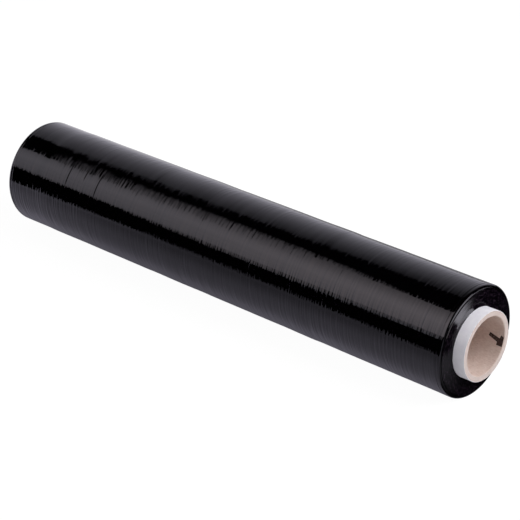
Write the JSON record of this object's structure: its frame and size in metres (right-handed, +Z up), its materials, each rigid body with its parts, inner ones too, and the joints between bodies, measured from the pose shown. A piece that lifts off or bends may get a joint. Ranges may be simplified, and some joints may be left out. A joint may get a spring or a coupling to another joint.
{
  "type": "stretch wrap roll",
  "caption": "Roll of glossy black stretch film wound on a paper core that stands out a little at both ends, with a plain through bore.",
  "frame": {"origin": "on the floor under the middle of the roll, on the flat spot the roll lies on", "axes": "+X along the roll's axis, towards the end whose bore has the printed arrow; +Z up from the floor; the film's free end is on the +Y side"},
  "size_m": [0.52, 0.0962, 0.0957],
  "materials": {
    "film": "glossy stretched film with fine rings round the roll",
    "core_board": "raw tan board",
    "core_cover_paper": "smooth white paper"
  },
  "bodies": {
    "root": {"film_roll": "film", "core_tube": "core_board", "core_cover": "core_cover_paper"}
  },
  "joints": []
}
